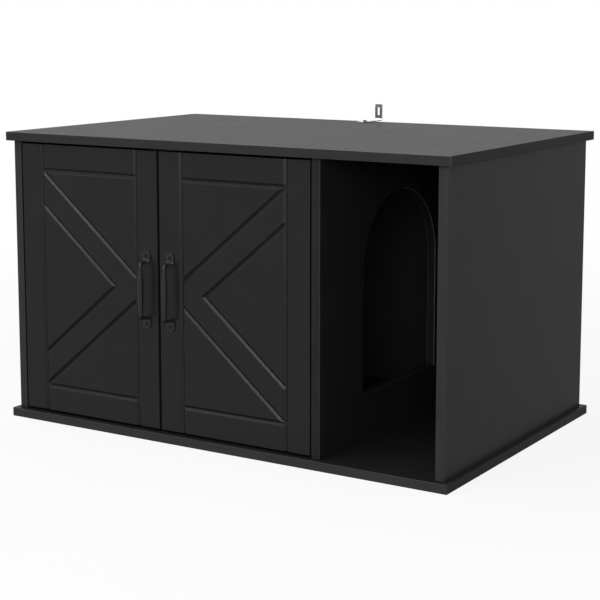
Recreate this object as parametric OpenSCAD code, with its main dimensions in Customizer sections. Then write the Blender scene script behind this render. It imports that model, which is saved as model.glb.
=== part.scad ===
// Cat house: a low cabinet with two front doors, a litter chamber behind them
// and an open vestibule, joined by an arched doorway.
// The origin is the centre of the base board's underside. The front faces -Y.

/* [Cabinet] */
// Width of the top and the base, side to side
cabinet_w = 850; // [780:10:1000]
// Depth of the top and the base, front to back
cabinet_d = 550; // [480:10:650]
// Height of the cabinet over its boards
cabinet_h = 500; // [420:10:650]
// Thickness of every board
board_t = 15; // [15:0.5:18]
// Reach of the top and the base past the side panels, on all four sides
overhang = 10; // [0:1:20]
// Clear width of the open vestibule on the right
vestibule_w = 200; // [150:5:260]

/* [Doorway] */
// Width of the arched doorway in the divider
doorway_w = 250; // [160:5:280]
// Height of the doorway's sill above the base board
doorway_sill = 75; // [60:5:120]
// Height of the doorway from its sill to the crown of the arch
doorway_h = 324; // [180:2:330]

/* [Doors] */
// Gap between a door and the panel that carries it
door_side_gap = 3; // [2.5:0.1:3.5]
// Gap between the two doors
door_meeting_gap = 4.5; // [2:0.5:6]
// Gap above and below the doors
door_end_gap = 4; // [2:0.5:6]
// Width of the door's outer frame, to the middle of its groove
frame_w = 44; // [40:1:52]
// Width of the diagonal brace, between the middles of its two grooves
brace_w = 44; // [30:1:56]
// Slope of the diagonal brace from the horizontal, in degrees
brace_angle = 40; // [32:1:44]
// Width of a V groove at the door's face
groove_w = 9; // [6:0.5:9]
// Depth of a V groove
groove_depth = 3; // [1.5:0.25:3]

/* [Back] */
// Thickness of the back board
back_t = 5; // [3:0.5:6]
// Depth of the grooves that hold the back board
back_groove = 6; // [4:0.5:7]
// Distance from the side panels' rear edges to the back board
back_setback = 4; // [3:0.5:8]

/* [Handles] */
// Length of a handle over both tabs
handle_len = 130; // [120:1:160]
// Width of a handle's mounting tabs
handle_tab_w = 15.5; // [13:0.5:18]
// Length of each tab
handle_tab_len = 19; // [16:0.5:22]
// Thickness of the tabs
handle_tab_t = 2.5; // [2:0.25:3]
// Distance from the door's face to the middle of the grip
handle_reach = 18; // [16:1:26]
// Diameter of the grip at its middle
grip_mid_d = 10; // [8:0.5:12]
// Diameter of the grip at its ends
grip_end_d = 6.5; // [5:0.5:7.5]
// Height of the handle's middle above the middle of the door
handle_lift = 2; // [0:0.5:10]

/* [Wall bracket] */
// Width of the bracket
bracket_w = 15; // [12:0.5:20]
// Thickness of the bracket's strip
bracket_t = 2; // [1.5:0.25:2.5]
// Length of the bracket that lies on the top
bracket_seat = 50.5; // [44:0.5:60]
// Reach of the bracket past the rear edge of the top
bracket_reach = 25; // [18:1:30]
// Height of the upright leg above the top
bracket_rise = 31; // [28:1:40]
// Width of the wall slot
slot_w = 5.5; // [4.5:0.25:6.5]
// Length of the wall slot
slot_len = 15.5; // [10:0.5:16]
// Distance from the wall slot's upper end to the end of the leg
slot_margin = 5.5; // [4:0.5:8]
// Distance of the bracket's middle to the left of the cabinet's middle
bracket_offset = 13.5; // [0:0.5:40]
// Distance from the bracket's front end to its screw
bracket_screw_in = 22; // [12:1:30]

/* [Hinges] */
// Diameter of the hinge cup
cup_d = 35; // [34:0.5:36]
// Distance from the door's edge to the middle of the cup
cup_in = 22.5; // [22:0.25:23]
// Thickness of the door left in front of the cup
cup_floor = 3.5; // [3.3:0.1:3.6]
// Thickness of the cup's wall
cup_wall = 0.9; // [0.7:0.05:1]
// Thickness of the cup's bottom
cup_bottom = 0.5; // [0.4:0.05:0.6]
// Thickness of the cup's flange on the door's back
flange_t = 1.2; // [1:0.1:1.3]
// Distance from the door's edge to the hinge pin
pivot_in = 10; // [9.8:0.1:10.2]
// Distance from the door's face to the hinge pin
pivot_deep = 7; // [6.9:0.1:7.2]
// Diameter of the hinge pin
hinge_pin_d = 2.5; // [2:0.1:2.6]
// Diameter of the arm's eye around the pin
hinge_eye_d = 5; // [4.6:0.1:5.2]
// Thickness of the hinge arm
arm_t = 3; // [2.5:0.1:3.2]
// Width of the hinge arm inside the cup
arm_w = 11; // [9:0.5:12]
// Width of the arm's channel over the mounting plate
channel_w = 15; // [14:0.5:17]
// Distance from the doors' faces to the mounting plate's screws
plate_in = 52; // [50:0.5:56]
// Distance from a door's end to the middle of a hinge
hinge_end = 80; // [70:1:110]
// Spacing of the two screws that hold a mounting plate
plate_pitch = 32; // [30:0.5:36]
// Spacing of the two screws that hold a cup
cup_pitch = 48; // [46:0.5:52]

/* [Catch] */
// Width of the double magnetic catch over its ears
catch_w = 68; // [66:1:80]
// Depth of the catch, front to back
catch_d = 18; // [14:0.5:24]
// Height of the catch
catch_h = 16; // [14:0.5:18]
// Length of each ear of the catch
catch_ear = 10; // [8:0.5:10]
// Thickness of the catch's ears
catch_ear_t = 3; // [2:0.5:4]
// Width of each strike plate on a door
strike_w = 16; // [12:0.5:17]
// Height of each strike plate
strike_h = 14; // [12:0.5:16]
// Thickness of a strike plate
strike_t = 1.5; // [1:0.1:2]
// Distance from the door's free edge to its strike plate
strike_in = 4; // [3:0.5:4.5]
// Distance from the door's top to its strike plate
strike_drop = 1.5; // [1:0.5:3]

/* [Fittings] */
// Diameter of a cam lock
cam_d = 15; // [14:0.5:16]
// Depth of a cam lock in its panel
cam_deep = 12.5; // [12:0.1:12.8]
// Distance from a panel's top edge to the middle of a cam lock
cam_edge = 34; // [30:0.5:38]
// Distance from the cabinet's middle to the cam locks, front and rear
cam_y = 180; // [165:1:190]
// Diameter of a wooden dowel
dowel_d = 8; // [6:0.5:8]
// Length of a wooden dowel
dowel_len = 30; // [25:1:35]
// Depth of a dowel in the top or the base
dowel_deep = 10; // [8:0.5:11]
// Distance from the cabinet's middle to the upper dowels
upper_dowel_y = 212; // [206:1:222]
// Distance from the cabinet's middle to the lower dowels
lower_dowel_y = 110; // [90:1:140]
// Distance from the cabinet's middle to the outer base screws
base_screw_y = 220; // [190:1:235]
// Length of a base screw
base_screw_len = 50; // [45:1:60]
// Shank diameter of a base screw
base_screw_d = 7; // [5:0.5:7]
// Diameter of the small wood screws
screw_d = 3.5; // [3:0.25:4]
// Head diameter of the small wood screws
screw_head_d = 6.8; // [6:0.2:7.4]
// Head height of the small wood screws
screw_head_h = 1.8; // [1.4:0.1:2.2]
// Bite of the small wood screws in a board
screw_bite = 10; // [8:0.5:11]

/* [Clearances] */
// Clearance all round a screw, dowel or cam in its hole
fit = 0.1; // [0.05:0.01:0.15]
// Clearance all round the hinge pin in the arm's eye
pin_play = 0.05; // [0.02:0.01:0.09]
// Clearance on each face of the back board in its groove
back_play = 0.15; // [0.1:0.05:0.3]
// Clearance between an arm and the open door
arm_play = 1.3; // [1:0.1:1.6]
// Gap between a strike plate and its magnet
strike_gap = 0.3; // [0.2:0.1:0.6]

/* [Hidden] */
$fn = 48;
// Reach of a cutter past the face that it cuts
cut = 1;

board_black = "#2c2c2e";
hardboard = "#3a342f";
handle_black = "#17171a";
zinc = "#b9bcc0";
steel = "#9a9da1";
beech = "#d2b384";
plastic_black = "#202022";

// Planes of the carcass
floor_z = board_t;
ceiling_z = cabinet_h - board_t;
side_outer_x = cabinet_w / 2 - overhang;
side_inner_x = side_outer_x - board_t;
divider_right_x = side_inner_x - vestibule_w;
divider_left_x = divider_right_x - board_t;
front_y = -cabinet_d / 2 + overhang;
rear_y = cabinet_d / 2 - overhang;
back_rear_y = rear_y - back_setback;
back_front_y = back_rear_y - back_t;
divider_rear_y = back_front_y;

// Middles of the three upright boards, and the turn that points their cam locks inwards
upright_x = [-side_outer_x + board_t / 2, divider_left_x + board_t / 2, side_outer_x - board_t / 2];
cam_turn = [0, 180, 180];
cam_z = ceiling_z - cam_edge;

// Doors. A door's own frame has x from the face of the panel that carries it,
// y in from the doors' faces, and z as the cabinet's
door_w = (divider_left_x + side_inner_x - 2 * door_side_gap - door_meeting_gap) / 2;
door_h = ceiling_z - floor_z - 2 * door_end_gap;
door_low_z = floor_z + door_end_gap;
door_top_z = door_low_z + door_h;
door_mid_z = door_low_z + door_h / 2;
door_free_x = door_side_gap + door_w;
meeting_x = (divider_left_x - side_inner_x) / 2;
field_x = [door_side_gap + frame_w, door_free_x - frame_w];
field_z = [door_low_z + frame_w, door_top_z - frame_w];
hinge_z = [door_top_z - hinge_end, door_low_z + hinge_end];
handle_x = door_free_x - frame_w / 2;
handle_z = door_mid_z + handle_lift;

// Hinge, in the door's frame
pivot_x = door_side_gap + pivot_in;
cup_x = door_side_gap + cup_in;
cup_r = cup_d / 2 - fit;
cup_cavity_r = cup_r - cup_wall;
cup_low_y = cup_floor + fit;
flange_y = board_t + flange_t;
flange_rim = 1.2;
flange_back = 9.5;
pad_r = 6;
arm_side_play = 0.5;
cup_ear_t = 3.5;
ear_z = arm_w / 2 + arm_side_play;
pin_seat = 0.02;
riser_x = pivot_x + flange_y - pivot_deep + arm_play + arm_t / 2;
corner_r = sqrt(pow(pivot_in, 2) + pow(board_t - pivot_deep, 2));
crank_y = pivot_deep + corner_r + arm_play;
// Height of the arm's underside, and of the mounting plate's block, above the carrying panel
arm_x = 9;
crank_sum = riser_x - arm_t / 2 + crank_y;
channel_front_y = crank_sum - arm_x;
channel_rear_y = plate_in + 26;
channel_wall = 1.8;
channel_leg = 5;
plate_t = 2;
block_side_play = 0.2;
block_front_play = 3;
block_half = channel_w / 2 - channel_wall - block_side_play;
clamp_y = plate_in + 14;
clamp_d = 4;
clamp_head_d = 7;
clamp_head_h = 2;
clamp_deep = 6;

// Handle
tab_r = handle_tab_w / 2;
tab_hole_z = handle_len / 2 - tab_r;
grip_half = handle_len / 2 - handle_tab_len;
bend_r = 2.5;
grip_steps = 14;
handle_screw_bite = 11;
handle_head_d = 7;
handle_head_h = 1.8;

// Wall bracket
bracket_front_y = cabinet_d / 2 - bracket_seat;
bracket_rear_y = cabinet_d / 2 + bracket_reach;
bracket_screw_y = bracket_front_y + bracket_screw_in;
bracket_screw_d = 4;
bracket_head_d = 8;
bracket_head_h = 2.2;
bracket_screw_bite = 11;

// Catch
catch_front_y = front_y + board_t + strike_t + strike_gap;
catch_rear_y = catch_front_y + catch_d;
catch_mid_y = (catch_front_y + catch_rear_y) / 2;
catch_screw_x = [meeting_x - catch_w / 2 + catch_ear / 2, meeting_x + catch_w / 2 - catch_ear / 2];
strike_x = door_free_x - strike_in - strike_w / 2;
strike_z = door_top_z - strike_drop - strike_h / 2;
magnet_x = door_meeting_gap / 2 + strike_in + strike_w / 2;
magnet_w = strike_w - 2;
magnet_h = catch_h - 4;
magnet_t = 4;
strike_screw_d = 3;
strike_screw_bite = 9;

// Screw heads: the cross recess and the top of a pan head, as shares of the head
cross_share = 0.5;
cross_deep_share = 0.6;
pan_top_share = 0.7;

// Fittings
cam_bolt_d = 6;
cam_bolt_head_d = 6.8;
cam_bolt_head_h = 7;
cam_bolt_thread_d = 5;
cam_bolt_bite = 10;
cam_bolt_hole_d = 8;
cam_cross_w = 1.2;
cam_cross_deep = 1.5;
base_screw_sink = 0.5;
base_screw_core_d = base_screw_d - 2;
base_screw_head_d = base_screw_d + 3;
base_screw_head_h = 3;
base_socket_d = 4.6;
base_socket_deep = 2.5;
back_screw_bite = 12;
back_screw_span = 340;
back_screw_z = [for (k = [-1, 0, 1]) (floor_z + ceiling_z) / 2 + k * back_screw_span / 2];

// Places of the dowels' lower ends and of the base screws
dowel_places = [
    for (x = upright_x, s = [-1, 1]) each [
        [x, s * upper_dowel_y, ceiling_z + dowel_deep - dowel_len],
        [x, s * lower_dowel_y, floor_z - dowel_deep]
    ]
];
base_screw_places = [for (x = upright_x, s = [-1, 0, 1]) [x, s * base_screw_y, base_screw_sink]];

// A rod along z from a to b
module rod(d, a, b) {
    translate([0, 0, a]) cylinder(h = b - a, d = d);
}

// A box from its lowest corner to its highest
module block(a, b) {
    translate(a) cube(b - a);
}

// Two crossed slots for a screwdriver, cut down from z = top
module cross_recess(head_d, head_h, top) {
    half = cross_share * head_d / 2;
    for (a = [0, 90]) rotate([0, 0, a])
        block([-half, -half / 4, top - cross_deep_share * head_h], [half, half / 4, top + cut]);
}

// A pan-head wood screw with its head's seat at z = 0 and its point at -bite
module pan_screw(d, head_d, head_h, bite) {
    difference() {
        union() {
            rod(d, -bite, 0);
            cylinder(h = head_h, d1 = head_d, d2 = pan_top_share * head_d);
        }
        cross_recess(head_d, head_h, head_h);
    }
}

module wood_screw(bite) {
    pan_screw(screw_d, screw_head_d, screw_head_h, bite);
}

// A flush screw with its head's face at z = 0, and with extra all round where it cuts its hole
module flush_screw(d, head_d, head_h, bite, extra) {
    rod(d + 2 * extra, -bite - extra, 0);
    translate([0, 0, -head_h]) cylinder(h = head_h, d1 = d + 2 * extra, d2 = head_d + 2 * extra);
    if (extra > 0) rod(head_d + 2 * extra, 0, cut);
}

// Places for children in a door's frame
module at_left() {
    translate([-side_inner_x, front_y, 0]) children();
}

module at_right() {
    translate([divider_left_x, front_y, 0]) mirror([1, 0, 0]) children();
}

// Turns children so that their z points in from the doors' faces
module inward() {
    rotate([-90, 0, 0]) children();
}

// Turns children so that their z points away from the carrying panel
module off_panel() {
    rotate([0, 90, 0]) children();
}

// Holes and fittings of the carcass
module dowel_holes() {
    for (p = dowel_places) translate(p) rod(dowel_d + 2 * fit, -fit, dowel_len + fit);
}

module base_screw(extra) {
    rod(base_screw_d + 2 * extra, 0, floor_z - base_screw_sink);
    rod(base_screw_core_d + 2 * extra, 0, base_screw_len + extra);
    cylinder(h = base_screw_head_h, d1 = base_screw_head_d + 2 * extra, d2 = base_screw_d + 2 * extra);
}

module base_screw_holes() {
    for (p = base_screw_places) translate(p) {
        base_screw(fit);
        rod(base_screw_head_d + 2 * fit, -base_screw_sink - cut, 0);
    }
}

// One groove runs round the inside of the carcass and holds the back board
module back_groove_cut() {
    block(
        [-side_inner_x - back_groove, back_front_y - back_play, floor_z - back_groove],
        [side_inner_x + back_groove, back_rear_y + back_play, ceiling_z + back_groove]
    );
}

// Places for children at each cam, with x pointing out of the face that the cam lock is set in
module at_cams() {
    for (i = [0 : len(upright_x) - 1], s = [-1, 1])
        translate([upright_x[i], s * cam_y, 0]) rotate([0, 0, cam_turn[i]]) children();
}

// The holes that an upright board has in its edges and for its cam locks
module upright_holes() {
    dowel_holes();
    base_screw_holes();
    at_cams() {
        rod(cam_bolt_hole_d, cam_z, ceiling_z + cut);
        translate([0, 0, cam_z]) off_panel()
            rod(cam_d + 2 * fit, board_t / 2 - cam_deep - fit, board_t / 2 + cut);
    }
}

// The holes for the mounting plates' screws, in the door's frame
module plate_screw_holes() {
    for (z = hinge_z, s = [-1, 1]) translate([0, plate_in, z + s * plate_pitch / 2]) off_panel()
        rod(screw_d + 2 * fit, -screw_bite - fit, cut);
}

module at_back_screws() {
    for (z = back_screw_z) translate([upright_x[1], back_rear_y, z]) inward() children();
}

module back_screw_holes() {
    at_back_screws() rod(screw_d + 2 * fit, -back_t - back_screw_bite - fit, cut);
}

// Carcass
module top_panel() color(board_black) difference() {
    block([-cabinet_w / 2, -cabinet_d / 2, ceiling_z], [cabinet_w / 2, cabinet_d / 2, cabinet_h]);
    back_groove_cut();
    dowel_holes();
    at_cams() rod(cam_bolt_thread_d + 2 * fit, ceiling_z - cut, ceiling_z + cam_bolt_bite + fit);
    translate([-bracket_offset, bracket_screw_y, cabinet_h])
        rod(bracket_screw_d + 2 * fit, -bracket_screw_bite - fit, cut);
    for (x = catch_screw_x) translate([x, catch_mid_y, ceiling_z])
        rod(screw_d + 2 * fit, -cut, screw_bite + fit);
}

module base_panel() color(board_black) difference() {
    block([-cabinet_w / 2, -cabinet_d / 2, 0], [cabinet_w / 2, cabinet_d / 2, floor_z]);
    back_groove_cut();
    dowel_holes();
    base_screw_holes();
}

module left_side_panel() color(board_black) difference() {
    block([-side_outer_x, front_y, floor_z], [-side_inner_x, rear_y, ceiling_z]);
    back_groove_cut();
    upright_holes();
    at_left() plate_screw_holes();
}

module right_side_panel() color(board_black) difference() {
    block([side_inner_x, front_y, floor_z], [side_outer_x, rear_y, ceiling_z]);
    back_groove_cut();
    upright_holes();
}

// The doorway is a rectangle under a half round
module doorway_cut() {
    sill_z = floor_z + doorway_sill;
    spring_z = sill_z + doorway_h - doorway_w / 2;
    translate([divider_left_x, (front_y + divider_rear_y) / 2, 0]) {
        block([-cut, -doorway_w / 2, sill_z], [board_t + cut, doorway_w / 2, spring_z]);
        translate([0, 0, spring_z]) off_panel()
            translate([0, 0, -cut]) cylinder(h = board_t + 2 * cut, d = doorway_w, $fn = 96);
    }
}

module divider_panel() color(board_black) difference() {
    block([divider_left_x, front_y, floor_z], [divider_right_x, divider_rear_y, ceiling_z]);
    doorway_cut();
    upright_holes();
    at_right() plate_screw_holes();
    back_screw_holes();
}

module back_panel() color(hardboard) difference() {
    reach = back_groove - 2 * back_play;
    block(
        [-side_inner_x - reach, back_front_y, floor_z - reach],
        [side_inner_x + reach, back_rear_y, ceiling_z + reach]
    );
    back_screw_holes();
}

module cam_locks() color(zinc) at_cams() difference() {
    translate([0, 0, cam_z]) off_panel() rod(cam_d, board_t / 2 - cam_deep, board_t / 2);
    block(
        [-cam_bolt_hole_d / 2, -cam_bolt_hole_d / 2, cam_z - cam_bolt_head_h / 2 - fit],
        [cam_bolt_hole_d / 2, cam_bolt_hole_d / 2, cam_z + cam_d]
    );
    translate([0, 0, cam_z]) off_panel() for (a = [0, 90]) rotate([0, 0, a])
        block([-cam_d / 4, -cam_cross_w / 2, board_t / 2 - cam_cross_deep],
            [cam_d / 4, cam_cross_w / 2, board_t / 2 + cut]);
}

module cam_bolts() color(steel) at_cams() {
    rod(cam_bolt_thread_d, ceiling_z, ceiling_z + cam_bolt_bite);
    rod(cam_bolt_d, cam_z, ceiling_z);
    rod(cam_bolt_head_d, cam_z - cam_bolt_head_h / 2, cam_z + cam_bolt_head_h / 2);
}

module wooden_dowels() color(beech) {
    for (p = dowel_places) translate(p) rod(dowel_d, 0, dowel_len);
}

module base_screws() color(steel) {
    for (p = base_screw_places) translate(p) difference() {
        base_screw(0);
        translate([0, 0, -cut]) cylinder(h = base_socket_deep + cut, d = base_socket_d, $fn = 6);
    }
}

module back_panel_screws() color(steel) at_back_screws() wood_screw(back_t + back_screw_bite);

// Bracket that ties the cabinet to a wall
module anti_tip_bracket() color(zinc) translate([-bracket_offset, 0, cabinet_h]) difference() {
    half = bracket_w / 2;
    slot_end_z = bracket_rise - slot_margin;
    slot_z = [slot_end_z - slot_len + slot_w / 2, slot_end_z - slot_w / 2];
    union() {
        block([-half, bracket_front_y, 0], [half, bracket_rear_y, bracket_t]);
        block([-half, bracket_rear_y - bracket_t, 0], [half, bracket_rear_y, bracket_rise]);
    }
    translate([0, bracket_screw_y, 0]) rod(bracket_screw_d + 2 * fit, -cut, bracket_t + cut);
    for (z = slot_z) translate([0, bracket_rear_y, z]) inward() rod(slot_w, -bracket_t - cut, cut);
    block(
        [-slot_w / 2, bracket_rear_y - bracket_t - cut, slot_z[0]],
        [slot_w / 2, bracket_rear_y + cut, slot_z[1]]
    );
}

module bracket_screw() color(handle_black)
    translate([-bracket_offset, bracket_screw_y, cabinet_h + bracket_t])
        pan_screw(bracket_screw_d, bracket_head_d, bracket_head_h, bracket_t + bracket_screw_bite);

// Magnetic catch under the top, behind both doors
module catch_magnet_blocks(extra) {
    front = extra > 0 ? -cut : 0;
    for (s = [-1, 1]) translate([meeting_x + s * magnet_x, catch_front_y, ceiling_z - catch_h / 2])
        block(
            [-magnet_w / 2 - extra, front, -magnet_h / 2 - extra],
            [magnet_w / 2 + extra, magnet_t + extra, magnet_h / 2 + extra]
        );
}

module magnetic_catch() color(plastic_black) difference() {
    half = catch_w / 2;
    union() {
        block(
            [meeting_x - half, catch_front_y, ceiling_z - catch_ear_t],
            [meeting_x + half, catch_rear_y, ceiling_z]
        );
        block(
            [meeting_x - half + catch_ear, catch_front_y, ceiling_z - catch_h],
            [meeting_x + half - catch_ear, catch_rear_y, ceiling_z]
        );
    }
    catch_magnet_blocks(fit);
    for (x = catch_screw_x) translate([x, catch_mid_y, ceiling_z])
        rod(screw_d + 2 * fit, -catch_ear_t - cut, cut);
}

module catch_magnets() color(steel) catch_magnet_blocks(0);

module catch_screws() color(steel)
    for (x = catch_screw_x) translate([x, catch_mid_y, ceiling_z - catch_ear_t]) rotate([180, 0, 0])
        wood_screw(screw_bite + catch_ear_t);

// Hinges, in the door's frame
module at_hinges() {
    for (z = hinge_z) translate([0, 0, z]) children();
}

// A flat cranked arm with an eye for the pin, which widens into a channel over the mounting plate
module hinge_arm() color(zinc) difference() {
    slope = arm_t * sqrt(2);
    union() {
        translate([0, 0, -arm_w / 2]) linear_extrude(height = arm_w) polygon([
            [pivot_x, pivot_deep - arm_t / 2],
            [riser_x + arm_t / 2, pivot_deep - arm_t / 2],
            [riser_x + arm_t / 2, crank_sum + slope - riser_x - arm_t / 2],
            [arm_x + arm_t, crank_sum + slope - arm_x - arm_t],
            [arm_x + arm_t, channel_rear_y],
            [arm_x, channel_rear_y],
            [arm_x, channel_front_y],
            [riser_x - arm_t / 2, crank_y],
            [riser_x - arm_t / 2, pivot_deep + arm_t / 2],
            [pivot_x, pivot_deep + arm_t / 2]
        ]);
        translate([pivot_x, pivot_deep, 0]) rod(hinge_eye_d, -arm_w / 2, arm_w / 2);
        block([arm_x - channel_leg, channel_front_y + arm_t, -channel_w / 2],
            [arm_x + arm_t, channel_rear_y, channel_w / 2]);
    }
    block(
        [0, channel_front_y, -channel_w / 2 + channel_wall],
        [arm_x, channel_rear_y + cut, channel_w / 2 - channel_wall]
    );
    translate([pivot_x, pivot_deep, 0]) rod(hinge_pin_d + 2 * pin_play, -arm_w / 2 - cut, arm_w / 2 + cut);
    translate([arm_x, clamp_y, 0]) off_panel() rod(clamp_d + 2 * fit, -cut, arm_t + cut);
}

// A winged mounting plate with a raised block that the arm is clamped to
module hinge_plate() color(zinc) difference() {
    union() {
        block([0, plate_in - pad_r, -plate_pitch / 2], [plate_t, plate_in + pad_r, plate_pitch / 2]);
        for (s = [-1, 1]) translate([0, plate_in, s * plate_pitch / 2]) off_panel()
            rod(2 * pad_r, 0, plate_t);
        block([0, channel_front_y + block_front_play, -block_half], [arm_x, channel_rear_y, block_half]);
    }
    for (s = [-1, 1]) translate([0, plate_in, s * plate_pitch / 2]) off_panel()
        rod(screw_d + 2 * fit, -cut, plate_t + cut);
    translate([arm_x, clamp_y, 0]) off_panel() rod(clamp_d + 2 * fit, -clamp_deep - fit, cut);
}

// A cup sunk in the door's back, with two ears that hold the pin
module hinge_cup() color(zinc) difference() {
    union() {
        difference() {
            union() {
                translate([cup_x, 0, 0]) inward() {
                    rod(2 * cup_r, cup_low_y, flange_y);
                    rod(2 * (cup_r + flange_rim), board_t, flange_y);
                }
                translate([cup_x + flange_back, 0, 0]) {
                    block([-pad_r, board_t, -cup_pitch / 2], [pad_r, flange_y, cup_pitch / 2]);
                    for (s = [-1, 1]) translate([0, 0, s * cup_pitch / 2]) inward()
                        rod(2 * pad_r, board_t, flange_y);
                }
            }
            translate([cup_x, 0, 0]) inward() rod(2 * cup_cavity_r, cup_low_y + cup_bottom, flange_y + cut);
        }
        intersection() {
            translate([cup_x, 0, 0]) inward() rod(2 * cup_r, cup_low_y, flange_y);
            for (s = [0, 1]) mirror([0, 0, s]) block(
                [pivot_x - hinge_eye_d / 2, cup_low_y, ear_z],
                [pivot_x + hinge_eye_d / 2, pivot_deep + hinge_eye_d / 2, ear_z + cup_ear_t]
            );
        }
    }
    translate([pivot_x, pivot_deep, 0])
        rod(hinge_pin_d + 2 * pin_seat, -ear_z - cup_ear_t - fit, ear_z + cup_ear_t + fit);
    for (s = [-1, 1]) translate([cup_x + flange_back, 0, s * cup_pitch / 2]) inward()
        rod(screw_d + 2 * fit, board_t - cut, flange_y + cut);
}

module hinge_pins() color(steel) at_hinges() translate([pivot_x, pivot_deep, 0])
    rod(hinge_pin_d, -ear_z - cup_ear_t, ear_z + cup_ear_t);

module cup_screws() color(steel) at_hinges() for (s = [-1, 1])
    translate([cup_x + flange_back, flange_y, s * cup_pitch / 2]) inward() wood_screw(screw_bite + flange_t);

module one_door_plate_screws() at_hinges() for (s = [-1, 1])
    translate([plate_t, plate_in, s * plate_pitch / 2]) off_panel() wood_screw(screw_bite + plate_t);

module one_door_arm_screws() at_hinges() translate([arm_x + arm_t, clamp_y, 0]) off_panel()
    pan_screw(clamp_d, clamp_head_d, clamp_head_h, arm_t + clamp_deep);

// Doors, in the door's frame
// A cutter for a V groove, from the origin along x, with its sharp edge groove_depth under the face
module groove_bar(length) {
    half = groove_w / 2 * (groove_depth + cut) / groove_depth;
    rotate([90, 0, 90]) linear_extrude(height = length)
        polygon([[-cut, -half], [groove_depth, 0], [-cut, half]]);
}

// The two slanting grooves of the brace in the upper half of the door's field
module upper_brace_grooves() {
    intersection() {
        block([field_x[0], -2 * cut, door_mid_z], [field_x[1], board_t, field_z[1]]);
        for (drop = [0, brace_w / cos(brace_angle)]) translate([field_x[0], 0, field_z[1] - drop])
            rotate([0, brace_angle, 0]) translate([-frame_w, 0, 0]) groove_bar(2 * door_w);
    }
}

module door_grooves() {
    for (x = field_x) translate([x, 0, door_low_z - cut]) rotate([0, -90, 0]) groove_bar(door_h + 2 * cut);
    for (z = field_z) translate([field_x[0], 0, z]) groove_bar(field_x[1] - field_x[0]);
    upper_brace_grooves();
    translate([0, 0, door_mid_z]) mirror([0, 0, 1]) translate([0, 0, -door_mid_z]) upper_brace_grooves();
}

module at_handle_screws() {
    for (s = [-1, 1]) translate([handle_x, -handle_tab_t, handle_z + s * tab_hole_z]) rotate([90, 0, 0])
        children();
}

module handle_screw(extra) {
    flush_screw(screw_d, handle_head_d, handle_head_h, handle_tab_t + handle_screw_bite, extra);
}

module at_strike_screw() {
    translate([strike_x, board_t + strike_t, strike_z]) inward() children();
}

module strike_screw(extra) {
    flush_screw(strike_screw_d, 2 * strike_screw_d, strike_t, strike_t + strike_screw_bite, extra);
}

module door_panel() color(board_black) difference() {
    block([door_side_gap, 0, door_low_z], [door_free_x, board_t, door_top_z]);
    door_grooves();
    at_hinges() {
        translate([cup_x, 0, 0]) inward() rod(cup_d, cup_floor, board_t + cut);
        for (s = [-1, 1]) translate([cup_x + flange_back, board_t, s * cup_pitch / 2]) inward()
            rod(screw_d + 2 * fit, -screw_bite - fit, cut);
    }
    at_handle_screws() handle_screw(fit);
    at_strike_screw() strike_screw(fit);
}

// A quarter of a flat ring, between +x and +y
module quarter_ring(r, t) {
    intersection() {
        difference() {
            circle(r + t / 2);
            circle(r - t / 2);
        }
        square(r + t);
    }
}

// The strip that bends out from the upper tab to the grip, drawn with x out from the door and y up
module neck_outline() {
    out_x = handle_tab_t / 2 + bend_r;
    in_x = handle_reach - bend_r;
    translate([out_x, grip_half + bend_r]) rotate(180) quarter_ring(bend_r, handle_tab_t);
    translate([out_x, grip_half - handle_tab_t / 2]) square([in_x - out_x, handle_tab_t]);
    translate([in_x, grip_half - bend_r]) quarter_ring(bend_r, handle_tab_t);
}

module handle_half() {
    translate([0, 0, tab_hole_z]) inward() rod(handle_tab_w, -handle_tab_t, 0);
    block([-tab_r, -handle_tab_t, grip_half + bend_r], [tab_r, 0, tab_hole_z]);
    intersection() {
        translate([tab_r, 0, 0]) rotate([90, 0, -90])
            linear_extrude(height = handle_tab_w) neck_outline();
        linear_extrude(height = handle_len) polygon([
            [-tab_r, 0], [tab_r, 0], [tab_r, -handle_tab_t],
            [grip_end_d / 2, bend_r - handle_reach], [grip_end_d / 2, -2 * handle_reach],
            [-grip_end_d / 2, -2 * handle_reach], [-grip_end_d / 2, bend_r - handle_reach],
            [-tab_r, -handle_tab_t]
        ]);
    }
}

// The grip swells towards its middle
module grip() {
    half = grip_half - bend_r;
    swell = (grip_mid_d - grip_end_d) / 2;
    rotate_extrude() polygon([
        [0, -half],
        for (i = [0 : grip_steps]) let (a = -90 + 180 * i / grip_steps)
            [grip_end_d / 2 + swell * cos(a), half * a / 90],
        [0, half]
    ]);
    for (s = [-1, 1]) translate([0, 0, s * half]) sphere(d = grip_end_d);
}

module handle() color(handle_black) difference() {
    translate([handle_x, 0, handle_z]) {
        handle_half();
        mirror([0, 0, 1]) handle_half();
        translate([0, -handle_reach, 0]) grip();
    }
    at_handle_screws() handle_screw(fit);
}

module handle_screws() color(handle_black) at_handle_screws() difference() {
    handle_screw(0);
    cross_recess(handle_head_d, handle_head_h, 0);
}

module strike_plate() color(zinc) difference() {
    block([strike_x - strike_w / 2, board_t, strike_z - strike_h / 2],
        [strike_x + strike_w / 2, board_t + strike_t, strike_z + strike_h / 2]);
    at_strike_screw() strike_screw(fit);
}

module strike_screw_piece() color(steel) at_strike_screw() difference() {
    strike_screw(0);
    cross_recess(2 * strike_screw_d, strike_t, 0);
}

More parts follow.
